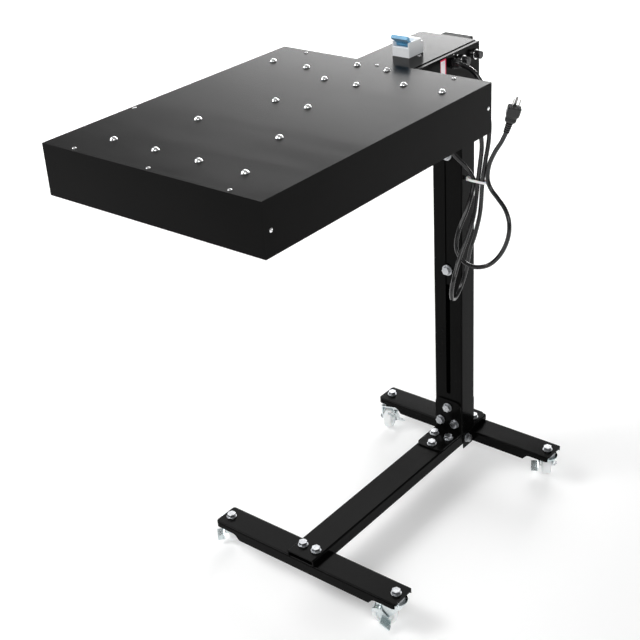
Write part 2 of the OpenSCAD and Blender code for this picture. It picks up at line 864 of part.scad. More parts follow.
module head_screws() {
    color(zinc) {
        for (p = lid_screws) translate([p[0], p[1], head_top]) pan_screw(7);
        for (s = [-1, 1], p = shell_screws)
            translate([s * head_x, p[0], p[1]]) rotate([0, s * 90, 0]) {
            cylinder(r = screw_r, h = screw_h);
            translate([0, 0, -1]) cylinder(r = shank_r, h = 1 + eps);
        }
    }
}

module dome_fasteners() {
    color(zinc) for (p = dome_xy) translate([p[0], p[1], head_top]) {
        intersection() {
            translate([0, 0, dome_h - dome_ball]) sphere(r = dome_ball);
            cylinder(r = dome_r + 1, h = dome_h + 1);
        }
        translate([0, 0, board_z0 - head_top]) cylinder(r = stud_r, h = head_top - board_z0 + 1);
    }
}

module insulation_board() {
    color([0.85, 0.83, 0.78]) difference() {
        translate([-head_x + sheet_t + 1, head_front + sheet_t + 1, board_z0])
            cube([head_w - 2 * sheet_t - 2, head_l - 2 * sheet_t - 2, board_t]);
        for (p = dome_xy) translate([p[0], p[1], board_z0 - 1]) cylinder(r = stud_r, h = 40);
        for (z = join_z, s = [-1, 1]) translate([s * join_x, -14, z]) rotate([-90, 0, 0])
            cylinder(r = 7, h = 30);
    }
}

module reflector() {
    color([0.8, 0.8, 0.8]) translate([-head_x + 14, head_front + 14, board_z0 - 1])
        cube([head_w - 28, head_l - 28, 1]);
}

module heater_rails() {
    color(zinc) for (y = [head_front + rail_y, head_back - rail_y]) difference() {
        translate([-head_x + sheet_t, y - 1, grid_z + 3.5]) cube([head_w - 2 * sheet_t, 2, 40]);
        for (x = heater_x) translate([x, y - 5, tube_z]) rotate([-90, 0, 0])
            cylinder(r = tube_r, h = 10);
    }
}

module heater_tubes() {
    color([0.75, 0.7, 0.65]) for (x = heater_x)
        translate([x, head_front + 12, tube_z]) rotate([-90, 0, 0])
        cylinder(r = tube_r, h = head_l - 24);
}

module wire_guard() {
    color(zinc) {
        for (k = [0:guard_rows]) translate([-head_x + 30 + k * (head_w - 60) / guard_rows,
            head_front + sheet_t, grid_z + wire_r]) rotate([-90, 0, 0])
            cylinder(r = wire_r, h = head_l - 2 * sheet_t);
        for (y = guard_y) translate([-head_x + sheet_t, y, grid_z + 0.2])
            rotate([0, 90, 0]) cylinder(r = wire_r, h = head_w - 2 * sheet_t);
    }
}

// Cord: a round tube swept along the route
function at(k) = route[max(0, min(len(route) - 1, k))];
function spline(k, t) = let (a = at(k - 1), b = at(k), c = at(k + 1), d = at(k + 2))
    0.5 * (2 * b + t * (c - a) + t * t * (2 * a - 5 * b + 4 * c - d)
    + t * t * t * (3 * b - a - 3 * c + d));
function unit(v) = v / norm(v);
spans = len(route) - 1;
path = [for (k = [0:spans - 1]) for (j = [0:(k % 2 == 0 ? 1 : 0)])
        spline(k, j / (k % 2 == 0 ? 2 : 1)), route[spans]];
function way(k) = unit(path[min(len(path) - 1, k + 1)] - path[max(0, k - 1)]);

module power_cord() {
    n = len(path);
    m = cord_sides;
    first = unit(cross(way(0), [0, 1, 0.1]));
    frames = sweep_frames(n, first);
    points = [for (k = [0:n - 1]) for (j = [0:m - 1]) let (a = 360 * j / m)
              path[k] + cord_d / 2 * (cos(a) * frames[k] + sin(a) * cross(way(k), frames[k]))];
    faces = concat([[for (j = [0:m - 1]) m - 1 - j]], [[for (j = [0:m - 1]) (n - 1) * m + j]],
        [for (k = [0:n - 2]) for (j = [0:m - 1])
         [k * m + j, k * m + (j + 1) % m, (k + 1) * m + (j + 1) % m, (k + 1) * m + j]]);
    color(plastic) polyhedron(points = points, faces = faces, convexity = 6);
}

function sweep_frames(n, first) = [for (k = 0, v = first; k < n;
    k = k + 1, v = k < n ? unit(v - (v * way(k)) * way(k)) : v) v];

module cable_tie() {
    color(nylon) translate([(tie_x0 + tie_x1) / 2, 230, tie_z]) difference() {
        linear_extrude(tie_h, center = true) rounded(tie_x1 - tie_x0 + 14, 2 * tie_in + 2 * tie_wall, 6);
        linear_extrude(tie_h + 2, center = true) rounded(tie_x1 - tie_x0 + 11, 2 * tie_in, 4.9);
    }
}

module at_plug() {
    translate(route[spans]) rotate([0, plug_tilt, 0]) rotate([0, 0, plug_turn]) children();
}

module plug_body() {
    color(plastic) at_plug() {
        cylinder(r = 6, h = 24);
        translate([0, 0, 24 - eps]) linear_extrude(12) rounded(22, 15, 5);
        translate([0, 0, 36 - 2 * eps]) linear_extrude(22) rounded(27, 19, 5);
    }
}

module plug_prongs() {
    color([0.8, 0.7, 0.4]) at_plug() {
        for (s = [-1, 1]) translate([s * 6.35 - 0.75, -3.2, 58 - 2 * eps]) cube([1.5, 6.4, 15.9]);
        translate([0, 5.5, 58 - 2 * eps]) cylinder(r = 2.4, h = 18);
    }
}

foot_bar_front();
foot_bar_rear();
base_beam();
lower_post();
bracket_front();
bracket_rear();
base_bolts();
base_washers();
base_nuts();
caster_bolts();
caster_races();
caster_nuts();
fork_front_left();
fork_front_right();
fork_rear_left();
fork_rear_right();
axle_front_left();
axle_front_right();
axle_rear_left();
axle_rear_right();
wheel_front_left();
wheel_front_right();
wheel_rear_left();
wheel_rear_right();
pedal_front_left();
pedal_front_right();
pedal_rear_left();
pedal_rear_right();
inner_post();
post_cap();
clamp_bolts();
clamp_washers();
box_body();
box_lid();
box_screws();
box_bolts();
breaker_body();
breaker_lever();
cable_gland();
blank_label();
knob_front();
knob_rear();
knob_bezels();
control_pots();
power_regulator();
terminal_block();
head_shell();
head_lid();
head_screws();
dome_fasteners();
insulation_board();
reflector();
heater_rails();
heater_tubes();
wire_guard();
power_cord();
cable_tie();
plug_body();
plug_prongs();
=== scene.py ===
import bpy
import bmesh
import json
import math
from mathutils import Matrix, Vector


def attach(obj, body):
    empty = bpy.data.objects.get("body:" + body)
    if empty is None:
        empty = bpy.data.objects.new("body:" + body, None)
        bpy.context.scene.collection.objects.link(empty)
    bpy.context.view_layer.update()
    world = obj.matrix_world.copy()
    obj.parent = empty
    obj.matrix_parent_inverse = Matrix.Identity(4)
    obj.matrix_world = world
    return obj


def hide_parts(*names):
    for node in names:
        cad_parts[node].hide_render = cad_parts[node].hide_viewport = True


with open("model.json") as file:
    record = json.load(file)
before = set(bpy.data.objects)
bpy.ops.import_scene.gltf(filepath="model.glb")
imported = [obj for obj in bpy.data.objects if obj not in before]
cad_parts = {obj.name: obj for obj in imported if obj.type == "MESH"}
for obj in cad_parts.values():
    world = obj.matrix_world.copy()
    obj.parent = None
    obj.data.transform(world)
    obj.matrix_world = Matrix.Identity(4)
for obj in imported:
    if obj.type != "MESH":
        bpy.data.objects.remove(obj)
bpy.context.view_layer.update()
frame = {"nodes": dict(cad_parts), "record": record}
BODY_OF = {node: body for body, nodes in frame["record"]["behaviour"]["bodies"].items()
           for node in nodes}
MM = 0.001
WELD_DISTANCE = 2e-6       # metres; closer vertices of a CAD mesh are one vertex
BOX_SIDE_X = 0.069         # outer face of the control box that the gland sits on
DOME_HEIGHT = 0.005
DOME_STEM_RADIUS = 0.0024

# ---------------------------------------------------------------- camera
right = Vector((0.7819, 0.6209, -0.0558)).normalized()
up = Vector((-0.2572, 0.4029, 0.8783))
up = (up - up.dot(right) * right).normalized()
back = right.cross(up)
cam_data = bpy.data.cameras.new("camera")
cam_data.lens = 70.0
cam_data.sensor_width = 36.0
cam_data.clip_end = 60
cam = bpy.data.objects.new("camera", cam_data)
turn = Matrix((right, up, back)).transposed()
cam.matrix_world = Matrix.Translation(Vector((1.3082, -1.7615, 1.6631))) @ turn.to_4x4()
bpy.context.scene.collection.objects.link(cam)
bpy.context.scene.camera = cam


# ---------------------------------------------------------------- materials
class Graph:
    """A small helper that wires one material's nodes."""

    def __init__(self, name):
        self.mat = bpy.data.materials.new(name)
        self.mat.use_nodes = True
        self.nodes = self.mat.node_tree.nodes
        self.links = self.mat.node_tree.links
        self.bsdf = self.nodes["Principled BSDF"]
        self.coord = self.nodes.new("ShaderNodeTexCoord").outputs["Object"]

    def node(self, kind, **values):
        n = self.nodes.new(kind)
        for key, value in values.items():
            if hasattr(n, key) and key not in n.inputs:
                setattr(n, key, value)
            else:
                n.inputs[key].default_value = value
        return n

    def link(self, a, b):
        self.links.new(a, b)

    def stretch(self, scale):
        m = self.node("ShaderNodeMapping")
        m.inputs["Scale"].default_value = scale
        self.link(self.coord, m.inputs["Vector"])
        return m.outputs["Vector"]

    def noise(self, scale, detail=4.0, rough=0.55, vector=None, distort=0.0):
        n = self.node("ShaderNodeTexNoise")
        n.inputs["Scale"].default_value = scale
        n.inputs["Detail"].default_value = detail
        n.inputs["Roughness"].default_value = rough
        n.inputs["Distortion"].default_value = distort
        self.link(vector or self.coord, n.inputs["Vector"])
        return n.outputs["Fac"]

    def ramp(self, fac, stops):
        r = self.node("ShaderNodeValToRGB")
        els = r.color_ramp.elements
        while len(els) < len(stops):
            els.new(0.5)
        for e, (pos, col) in zip(els, stops):
            e.position = pos
            e.color = (*col, 1) if len(col) == 3 else col
        self.link(fac, r.inputs["Fac"])
        return r.outputs["Color"]

    def span(self, fac, a, b, c, d):
        m = self.node("ShaderNodeMapRange")
        m.clamp = True
        for key, v in (("From Min", a), ("From Max", b), ("To Min", c), ("To Max", d)):
            m.inputs[key].default_value = v
        self.link(fac, m.inputs["Value"])
        return m.outputs["Result"]

    def maths(self, op, a, b):
        m = self.node("ShaderNodeMath")
        m.operation = op
        for i, v in enumerate((a, b)):
            if hasattr(v, "is_output"):
                self.link(v, m.inputs[i])
            else:
                m.inputs[i].default_value = v
        return m.outputs[0]

    def mix(self, fac, a, b):
        m = self.node("ShaderNodeMix")
        m.data_type = "RGBA"
        if hasattr(fac, "is_output"):
            self.link(fac, m.inputs["Factor"])
        else:
            m.inputs["Factor"].default_value = fac
        for key, v in (("A", a), ("B", b)):
            sock = [s for s in m.inputs if s.name == key and s.type == "RGBA"][0]
            if hasattr(v, "is_output"):
                self.link(v, sock)
            else:
                sock.default_value = (*v, 1)
        return [s for s in m.outputs if s.type == "RGBA"][0]

    def bump(self, height, strength, distance):
        b = self.node("ShaderNodeBump")
        b.inputs["Strength"].default_value = strength
        b.inputs["Distance"].default_value = distance
        self.link(height, b.inputs["Height"])
        return b.outputs["Normal"]

    def out(self, color=None, rough=None, normal=None, **fixed):
        if color is not None:
            self.link(color, self.bsdf.inputs["Base Color"])
        if rough is not None:
            self.link(rough, self.bsdf.inputs["Roughness"])
        if normal is not None:
            self.link(normal, self.bsdf.inputs["Normal"])
        for key, v in fixed.items():
            self.bsdf.inputs[key.replace("_", " ")].default_value = v
        return self.mat


def paint(name, dark, light, rough0, rough1, dust=0.35, orange=0.05, spec=0.5):
    """Black powder coat: orange peel, faint cloudiness, smears and fine dust specks."""
    g = Graph(name)
    cloud = g.noise(7.0, 5.0, 0.6)
    base = g.ramp(cloud, [(0.3, dark), (0.72, light)])
    speck = g.span(g.noise(900.0, 2.0, 0.5), 0.70, 0.78, 0.0, dust)
    patch = g.span(g.noise(16.0, 3.0, 0.5), 0.45, 0.75, 0.0, 1.0)
    base = g.mix(g.maths("MULTIPLY", speck, patch), base, (0.07, 0.068, 0.065))
    smear = g.noise(3.0, 6.0, 0.62, vector=g.stretch((1.0, 4.0, 1.0)), distort=0.6)
    rough = g.span(smear, 0.3, 0.7, rough0, rough1)
    peel = g.noise(420.0, 2.0, 0.5)
    fine = g.noise(1500.0, 2.0, 0.6)
    height = g.maths("ADD", peel, g.maths("MULTIPLY", fine, 0.35))
    return g.out(base, rough, g.bump(height, orange, 0.0006), Specular_IOR_Level=spec)


def metal(name, low, high, r0, r1, scale=60.0, bump=0.06, stain=None):
    g = Graph(name)
    n = g.noise(scale, 5.0, 0.6)
    col = g.ramp(n, [(0.3, low), (0.7, high)])
    if stain:
        col = g.mix(g.span(g.noise(scale * 0.4, 3.0), 0.5, 0.7, 0.0, 0.55), col, stain)
    rough = g.span(g.noise(scale * 3.0, 4.0, 0.65), 0.3, 0.7, r0, r1)
    fine = g.noise(scale * 14.0, 3.0, 0.6)
    return g.out(col, rough, g.bump(fine, bump, 0.0002), Metallic=1.0)


def plastic(name, low, high, r0, r1, scale=40.0, bump=0.05, spec=0.5, sss=0.0, dusty=0.25):
    g = Graph(name)
    col = g.ramp(g.noise(scale, 4.0), [(0.3, low), (0.7, high)])
    dirt = g.span(g.noise(scale * 9.0, 3.0, 0.6), 0.62, 0.74, 0.0, dusty)
    col = g.mix(dirt, col, tuple(0.6 * v + 0.05 for v in low))
    rough = g.span(g.noise(scale * 4.0, 3.0), 0.3, 0.7, r0, r1)
    grain = g.noise(scale * 40.0, 2.0)
    mat = g.out(col, rough, g.bump(grain, bump, 0.0002), Specular_IOR_Level=spec)
    g.bsdf.inputs["Subsurface Weight"].default_value = sss
    g.bsdf.inputs["Subsurface Scale"].default_value = 0.004
    return mat


M = {
    "head_paint": paint("head_paint", (0.0012, 0.0012, 0.0011), (0.0022, 0.0021, 0.0020), 0.15, 0.24,
                        spec=0.045),
    "stand_paint": paint("stand_paint", (0.0016, 0.0016, 0.0016), (0.0028, 0.0028, 0.0027), 0.14, 0.24,
                         dust=0.3, orange=0.06, spec=0.045),
    "zinc": metal("zinc", (0.34, 0.35, 0.37), (0.54, 0.55, 0.56), 0.22, 0.38, 90.0, 0.10),
    "fork_zinc": metal("fork_zinc", (0.66, 0.72, 0.73), (0.84, 0.88, 0.89), 0.20, 0.34, 30.0, 0.006,
                       (0.52, 0.70, 0.72)),
    "chrome": metal("chrome", (0.80, 0.80, 0.81), (0.90, 0.90, 0.90), 0.06, 0.16, 70.0, 0.02),
    "aluminium": metal("aluminium", (0.70, 0.70, 0.70), (0.83, 0.83, 0.83), 0.18, 0.32, 30.0),
    "nickel": metal("nickel", (0.26, 0.255, 0.245), (0.40, 0.39, 0.38), 0.16, 0.30, 80.0),
    "nylon": plastic("nylon", (0.84, 0.86, 0.86), (0.90, 0.92, 0.92), 0.32, 0.45, 30.0, 0.04, sss=0.08,
                     dusty=0.06),
    "tie": plastic("tie", (0.76, 0.76, 0.74), (0.86, 0.86, 0.85), 0.34, 0.46, 60.0, sss=0.2),
    "knob_plastic": plastic("knob_plastic", (0.008, 0.008, 0.009), (0.015, 0.015, 0.016), 0.20, 0.34),
    "white_plastic": plastic("white_plastic", (0.84, 0.86, 0.88), (0.90, 0.92, 0.93), 0.28, 0.40, 25.0,
                             dusty=0.03),
    "blue_plastic": plastic("blue_plastic", (0.10, 0.34, 0.56), (0.16, 0.46, 0.72), 0.24, 0.36, 60.0),
    "grey_plastic": plastic("grey_plastic", (0.30, 0.30, 0.29), (0.42, 0.42, 0.40), 0.40, 0.55),
    "cord": plastic("cord", (0.0030, 0.0030, 0.0034), (0.0060, 0.0060, 0.0066), 0.09, 0.17, 80.0, 0.05,
                    spec=0.50, dusty=0.04),
    "moulded": plastic("moulded", (0.0040, 0.0042, 0.0046), (0.0085, 0.0088, 0.0094), 0.16, 0.28, 60.0,
                       0.05, spec=0.50, dusty=0.08),
    "cap_black": plastic("cap_black", (0.004, 0.004, 0.004), (0.008, 0.008, 0.008), 0.5, 0.65,
                         spec=0.08, dusty=0.1),
}


# the pale middle's limits in metres; the border lies outside them
LABEL_MIDDLE = (("Y", 0.0926, 0.1072), ("Z", 0.9585, 0.9855))


def label_material():
    """Blank film: a plain pale middle inside a thin reddish border."""
    g = Graph("label")
    middle = g.ramp(g.noise(120.0, 4.0), [(0.3, (0.88, 0.80, 0.84)), (0.7, (0.93, 0.88, 0.90))])
    sep = g.node("ShaderNodeSeparateXYZ")
    g.link(g.coord, sep.inputs["Vector"])
    inside = 1.0
    for axis, lo, hi in LABEL_MIDDLE:
        inside = g.maths("MULTIPLY", g.maths("GREATER_THAN", sep.outputs[axis], lo), inside)
        inside = g.maths("MULTIPLY", g.maths("LESS_THAN", sep.outputs[axis], hi), inside)
    base = g.mix(inside, (0.80, 0.012, 0.09), middle)
    rough = g.span(g.noise(300.0, 3.0), 0.3, 0.7, 0.30, 0.42)
    return g.out(base, rough, g.bump(g.noise(700.0, 2.0), 0.06, 0.0002))


def board_material():
    g = Graph("board")
    base = g.ramp(g.noise(55.0, 6.0, 0.65), [(0.25, (0.55, 0.52, 0.46)), (0.75, (0.76, 0.73, 0.67))])
    rough = g.span(g.noise(80.0, 4.0), 0.3, 0.7, 0.82, 0.95)
    fibres = g.noise(260.0, 5.0, 0.7, vector=g.stretch((1.0, 3.5, 1.0)))
    return g.out(base, rough, g.bump(fibres, 0.5, 0.001))


def heater_material():
    """Fired ceramic tube with the darker turns of the wound element showing through."""
    g = Graph("heater")
    wave = g.node("ShaderNodeTexWave")
    wave.bands_direction = "Y"
    wave.inputs["Scale"].default_value = 95.0
    wave.inputs["Distortion"].default_value = 0.6
    g.link(g.coord, wave.inputs["Vector"])
    turns = g.ramp(wave.outputs["Fac"], [(0.35, (0.50, 0.46, 0.40)), (0.75, (0.24, 0.20, 0.17))])
    base = g.mix(g.span(g.noise(45.0), 0.4, 0.7, 0.0, 0.4), turns, (0.62, 0.58, 0.50))
    rough = g.span(g.noise(150.0), 0.3, 0.7, 0.45, 0.65)
    return g.out(base, rough, g.bump(wave.outputs["Fac"], 0.3, 0.0005))


M["label"] = label_material()
M["board"] = board_material()
M["heater"] = heater_material()


# ---------------------------------------------------------------- helpers
def new_object(name, bm, material, body, smooth=0.6, replaces=()):
    mesh = bpy.data.meshes.new(name)
    bm.to_mesh(mesh)
    bm.free()
    obj = bpy.data.objects.new(name, mesh)
    bpy.context.scene.collection.objects.link(obj)
    mesh.materials.append(M[material])
    for p in mesh.polygons:
        p.use_smooth = True
    mesh.set_sharp_from_angle(angle=smooth)
    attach(obj, body)
    if replaces:
        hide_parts(*replaces)
    return obj


def softened(node, material, width, flat=False):
    """The CAD node's own shape with its edges rounded, in place of the sharp one."""
    bm = bmesh.new()
    bm.from_mesh(frame["nodes"][node].data)
    bmesh.ops.remove_doubles(bm, verts=bm.verts, dist=WELD_DISTANCE)
    bmesh.ops.dissolve_limit(bm, angle_limit=math.radians(0.6), verts=bm.verts, edges=bm.edges)
    obj = new_object(node + "_detail", bm, material, BODY_OF[node], 0.6, (node,))
    for p in obj.data.polygons:
        p.use_smooth = not flat
    bevel = obj.modifiers.new("edges", "BEVEL")
    bevel.width = width
    bevel.segments = 2
    bevel.limit_method = "ANGLE"
    bevel.angle_limit = math.radians(40)
    bevel.use_clamp_overlap = True
    if not flat:
        even = obj.modifiers.new("even", "WEIGHTED_NORMAL")
        even.keep_sharp = True
    return obj


def dress(node, material):
    """Give a CAD node that keeps its own shape one of the materials above."""
    mesh = frame["nodes"][node].data
    mesh.materials.clear()
    mesh.materials.append(M[material])


def lathe(profile, turns=48):
    """A closed solid of revolution about +Z from (radius, height) pairs in metres."""
    bm = bmesh.new()
    rings = []
    for r, z in profile:
        if r < 1e-7:
            rings.append([bm.verts.new((0, 0, z))])
        else:
            rings.append([bm.verts.new((r * math.cos(2 * math.pi * k / turns),
                                        r * math.sin(2 * math.pi * k / turns), z))
                          for k in range(turns)])
    for a, b in zip(rings, rings[1:]):
        for k in range(turns):
            j = (k + 1) % turns
            if len(a) == 1 and len(b) > 1:
                bm.faces.new((a[0], b[k], b[j]))
            elif len(b) == 1 and len(a) > 1:
                bm.faces.new((a[k], a[j], b[0]))
            elif len(a) > 1 and len(b) > 1:
                bm.faces.new((a[k], a[j], b[j], b[k]))
    bmesh.ops.recalc_face_normals(bm, faces=bm.faces)
    return bm


def join(bm, other, matrix=Matrix()):
    """Add another mesh, moved by a matrix, to bm."""
    bmesh.ops.transform(other, matrix=matrix, verts=other.verts)
    mesh = bpy.data.meshes.new("part")
    other.to_mesh(mesh)
    other.free()
    bm.from_mesh(mesh)
    bpy.data.meshes.remove(mesh)


def ring(w, d, r, z, per_corner=7):
    """Points of a rounded rectangle, anticlockwise, all in millimetres."""
    out = []
    for k, (u, v) in enumerate(((1, 1), (-1, 1), (-1, -1), (1, -1))):
        for j in range(per_corner):
            a = math.radians(90 * k + 90 * j / (per_corner - 1))
            out.append(Vector((u * (w / 2 - r) + r * math.cos(a),
                               v * (d / 2 - r) + r * math.sin(a), z)) * MM)
    return out


def loft(sections):
    """A closed skin through rounded rectangles (width, depth, corner, height)."""
    bm = bmesh.new()
    rows = [[bm.verts.new(p) for p in ring(*sec)] for sec in sections]
    n = len(rows[0])
    for a, b in zip(rows, rows[1:]):
        for k in range(n):
            bm.faces.new((a[k], a[(k + 1) % n], b[(k + 1) % n], b[k]))
    bm.faces.new(list(reversed(rows[0])))
    bm.faces.new(rows[-1])
    bmesh.ops.recalc_face_normals(bm, faces=bm.faces)
    return bm


def islands(node):
    """Bounding boxes (low, high) of the separate solids in a CAD node."""
    bm = bmesh.new()
    bm.from_mesh(frame["nodes"][node].data)
    bmesh.ops.remove_doubles(bm, verts=bm.verts, dist=WELD_DISTANCE)
    bm.verts.ensure_lookup_table()
    seen, boxes = set(), []
    for start in bm.verts:
        if start in seen:
            continue
        stack, low, high = [start], start.co.copy(), start.co.copy()
        seen.add(start)
        while stack:
            v = stack.pop()
            for i in range(3):
                low[i] = min(low[i], v.co[i])
                high[i] = max(high[i], v.co[i])
            for e in v.link_edges:
                w = e.other_vert(v)
                if w not in seen:
                    seen.add(w)
                    stack.append(w)
        boxes.append((low, high))
    bm.free()
    return boxes


def screw_head(radius, height, slot_width, slot_reach, slot_depth, turns=64):
    """A domed screw head about +Z with a cross recess, its seat at z = 0."""
    bm = bmesh.new()
    radii = [0.001, 0.08, 0.16, 0.24, 0.32, 0.4, 0.48, 0.56, 0.64, 0.72, 0.8, 0.88, 0.94, 0.98, 1.0]
    rows = []
    for f in radii:
        r = f * radius
        z = height * (1 - 0.55 * f ** 2.6) if f < 1 else height * 0.38
        row = []
        for k in range(turns):
            a = 2 * math.pi * k / turns
            x, y = r * math.cos(a), r * math.sin(a)
            inside = min(abs(x), abs(y)) < slot_width / 2 and max(abs(x), abs(y)) < slot_reach
            row.append(bm.verts.new((x, y, z - (slot_depth if inside else 0.0))))
        rows.append(row)
    rows.append([bm.verts.new((v.co.x, v.co.y, 0)) for v in rows[-1]])
    for a, b in zip(rows, rows[1:]):
        for k in range(turns):
            j = (k + 1) % turns
            bm.faces.new((a[k], b[k], b[j], a[j]))
    bm.faces.new(rows[0])
    bm.faces.new(list(reversed(rows[-1])))
    bmesh.ops.recalc_face_normals(bm, faces=bm.faces)
    return bm


def dome_head(radius, height, flange=0.0006):
    """A low polished dome on a thin flange, its seat at z = 0."""
    big = (radius ** 2 + height ** 2) / (2 * height)
    reach = math.asin(min(1.0, (radius * 0.96) / big))
    arc = [(big * math.sin(reach * (1 - k / 12)), height - big + big * math.cos(reach * (1 - k / 12)))
           for k in range(13)]
    return lathe([(0, 0), (radius, 0), (radius, flange)] + arc, 40)


def shank(radius, low, high):
    """A plain round stem about +Z."""
    return lathe([(0, low), (radius, low), (radius, high), (0, high)], 20)


# ---------------------------------------------------------------- cord
ROUTE = [(63, 132, 973), (76.5, 132, 973), (90, 132, 973), (112, 132, 965.5), (130, 133.5, 946),
         (135, 140.5, 920), (124, 155, 887), (106, 178, 855), (84, 208, 820), (74, 228, 778),
         (67, 233, 738), (64.5, 230, 704), (64.5, 223, 668), (65, 212, 631), (63, 192, 593),
         (60, 167.5, 553.5), (60.5, 142.5, 511), (52, 150, 472.5), (45, 172.5, 457.5),
         (40, 201, 467), (43, 219.5, 504), (51, 221, 550), (62, 224, 589), (70, 230, 638),
         (75, 230, 704), (78, 236, 748), (81, 243, 793), (79, 243.5, 836.5), (61, 228, 864),
         (40.5, 209, 865.5), (22, 189, 840.5), (19.5, 182, 803), (32, 189.5, 769.5),
         (49, 207.5, 739), (54, 230, 704), (49, 232, 674.5), (46.5, 216.5, 641.5),
         (43.5, 192.5, 607), (43.5, 181.5, 571), (59.5, 178.5, 547.5), (84.5, 181, 537.5),
         (114, 189.5, 544.5), (136.5, 198.5, 569.5), (149.5, 205, 604), (149, 211.5, 636),
         (135, 219.5, 660), (114, 225.5, 677.5), (96, 228, 693.5), (87.5, 229, 714),
         (89, 232.5, 742.5), (103, 231, 773), (117, 231, 796), (127, 231, 817)]
CORD_D = 0.009


def cord_curve():
    pts = [Vector(p) * MM for p in ROUTE]
    curve = bpy.data.curves.new("mains_cord", "CURVE")
    curve.dimensions = "3D"
    curve.bevel_depth = CORD_D / 2
    curve.bevel_resolution = 6
    curve.resolution_u = 10
    curve.use_fill_caps = True
    spline = curve.splines.new("BEZIER")
    spline.bezier_points.add(len(pts) - 1)
    for i, p in enumerate(pts):
        a, b = pts[max(0, i - 1)], pts[min(len(pts) - 1, i + 1)]
        reach = (b - a) / 6
        knot = spline.bezier_points[i]
        knot.handle_left_type = knot.handle_right_type = "FREE"
        knot.co, knot.handle_left, knot.handle_right = p, p - reach, p + reach
    curve.materials.append(M["cord"])
    obj = bpy.data.objects.new("mains_cord", curve)
    bpy.context.scene.collection.objects.link(obj)
    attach(obj, "mast")
    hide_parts("power_cord")
    return obj


cord = cord_curve()

# ---------------------------------------------------------------- dressing of the CAD nodes
for n in ("head_lid", "head_shell"):
    softened(n, "head_paint", 0.0007, flat=True)
for n in ("box_body", "box_lid"):
    softened(n, "head_paint", 0.0005, flat=True)
for n in ("foot_bar_front", "foot_bar_rear", "base_beam", "lower_post", "inner_post"):
    softened(n, "stand_paint", 0.0008, flat=True)
for n in ("bracket_front", "bracket_rear"):
    softened(n, "stand_paint", 0.0006, flat=True)
for n in ("front_left", "front_right", "rear_left", "rear_right"):
    softened("fork_" + n, "fork_zinc", 0.0005)
    softened("wheel_" + n, "nylon", 0.0010)
    softened("axle_" + n, "zinc", 0.0004)
    softened("pedal_" + n, "fork_zinc", 0.0005)
for n in ("base_bolts", "clamp_bolts", "caster_bolts", "caster_nuts", "base_nuts", "box_bolts"):
    softened(n, "zinc", 0.0005)
for n in ("base_washers", "clamp_washers", "caster_races"):
    softened(n, "zinc", 0.0003)
softened("breaker_body", "white_plastic", 0.0009)
softened("breaker_lever", "blue_plastic", 0.0008)
softened("knob_bezels", "chrome", 0.0003)
softened("post_cap", "cap_black", 0.0005)
for n in ("knob_front", "knob_rear"):
    softened(n, "knob_plastic", 0.0006)
prongs = softened("plug_prongs", "nickel", 0.0004)
dress("blank_label", "label")
dress("control_pots", "grey_plastic")
dress("power_regulator", "aluminium")
dress("terminal_block", "white_plastic")
dress("insulation_board", "board")
dress("reflector", "aluminium")
dress("heater_rails", "zinc")
dress("heater_tubes", "heater")
dress("wire_guard", "zinc")

# ---------------------------------------------------------------- plug, gland, tie
tip = Vector(ROUTE[-1]) * MM
at_plug = (Matrix.Translation(tip) @ Matrix.Rotation(math.radians(18.7), 4, "Y")
           @ Matrix.Rotation(math.radians(38.0), 4, "Z"))
relief = [(0.0, 0.0), (0.0048, 0.0)]
for k in range(5):
    z = 0.0008 + 0.0046 * k
    r = 0.0047 + 0.00022 * k
    relief += [(r, z), (r + 0.0014, z + 0.0005), (r + 0.0014, z + 0.0022), (r, z + 0.0027)]
relief += [(0.0060, 0.0238), (0.0060, 0.0250), (0.0, 0.0250)]
plug = bmesh.new()
join(plug, lathe(relief, 36), at_plug)
body = [(14, 12.6, 5, 23.6), (18, 13.6, 5, 24.4), (21, 14.6, 5, 26.0), (22, 15, 5, 28.5)]
for z in (30.0, 33.0):
    body += [(22, 15, 5, z), (21, 14, 4.8, z + 0.5), (21, 14, 4.8, z + 1.3), (22, 15, 5, z + 1.8)]
body += [(22, 15, 5, 35.6), (23.5, 16.2, 5, 37.2), (26.2, 18.4, 5, 39.4), (27, 19, 5, 42.5),
         (27, 19, 5, 55.5), (26.4, 18.4, 4.8, 57.2), (25.4, 17.4, 4.4, 58.0)]
join(plug, loft(body), at_plug)
plug_object = new_object("plug_body_detail", plug, "moulded", BODY_OF["plug_body"],
                         0.5, ("plug_body",))

(low, high), = islands("cable_gland")
seat, mid_y, mid_z = BOX_SIDE_X, (low.y + high.y) / 2, (low.z + high.z) / 2
out_x = Matrix.Translation((seat, mid_y, mid_z)) @ Matrix.Rotation(math.pi / 2, 4, "Y")
gland = bmesh.new()
hexagon = bmesh.new()
HEX_CORNER_RADIUS = 0.0108
HEX_THICKNESS = 0.0046
for z in (0.0, HEX_THICKNESS):
    for k in range(6):
        a = math.radians(60 * k)
        hexagon.verts.new((HEX_CORNER_RADIUS * math.cos(a), HEX_CORNER_RADIUS * math.sin(a), z))
hexagon.verts.ensure_lookup_table()
v = hexagon.verts
for k in range(6):
    hexagon.faces.new((v[k], v[(k + 1) % 6], v[6 + (k + 1) % 6], v[6 + k]))
hexagon.faces.new([v[k] for k in range(6)])
hexagon.faces.new([v[6 + k] for k in range(6)])
bmesh.ops.recalc_face_normals(hexagon, faces=hexagon.faces)
bmesh.ops.bevel(hexagon, geom=hexagon.edges[:], offset=0.0006, segments=2, affect="EDGES")
join(gland, hexagon, out_x)
nut = [(0.0047, 0.002), (0.0090, 0.0044)]
for k in range(5):
    z = 0.0052 + 0.0026 * k
    r = 0.0089 - 0.00052 * k
    nut += [(r, z), (r, z + 0.0015), (r - 0.0006, z + 0.0018), (r - 0.0006, z + 0.0024)]
nut += [(0.0060, 0.0186), (0.0057, 0.0200), (0.0052, 0.0209), (0.0047, 0.0210), (0.0047, 0.002)]
